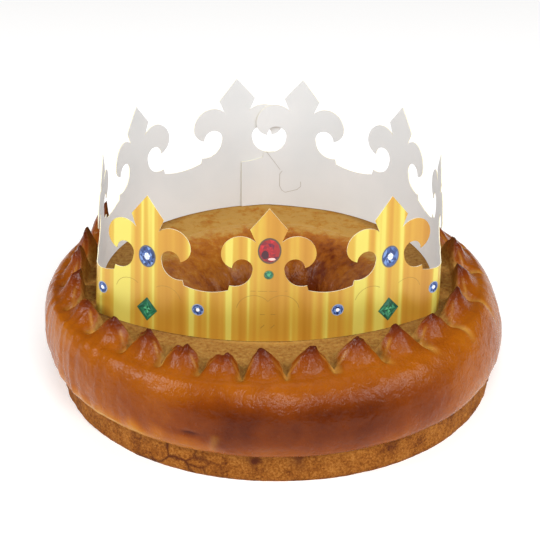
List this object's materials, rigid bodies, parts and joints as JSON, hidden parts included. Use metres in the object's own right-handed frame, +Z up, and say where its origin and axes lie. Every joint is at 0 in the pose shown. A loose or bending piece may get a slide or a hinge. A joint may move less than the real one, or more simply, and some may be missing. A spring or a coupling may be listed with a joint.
{
  "type": "brioche king cake",
  "caption": "Glazed brioche ring with snipped dough peaks round its top and a gold card crown of fleurs standing on it.",
  "frame": {"origin": "centre of the box of the whole, on the surface that the cake stands on", "axes": "+Z up, -Y towards the front of the crown, +X to the right as seen from the front"},
  "size_m": [0.2476, 0.2552, 0.13],
  "materials": {
    "brioche": "egg-washed crust, uneven satin to gloss",
    "paper_crown": "gold printed card, white on the inside"
  },
  "bodies": {
    "root": {"brioche": "brioche", "paper_crown": "paper_crown"}
  },
  "joints": []
}
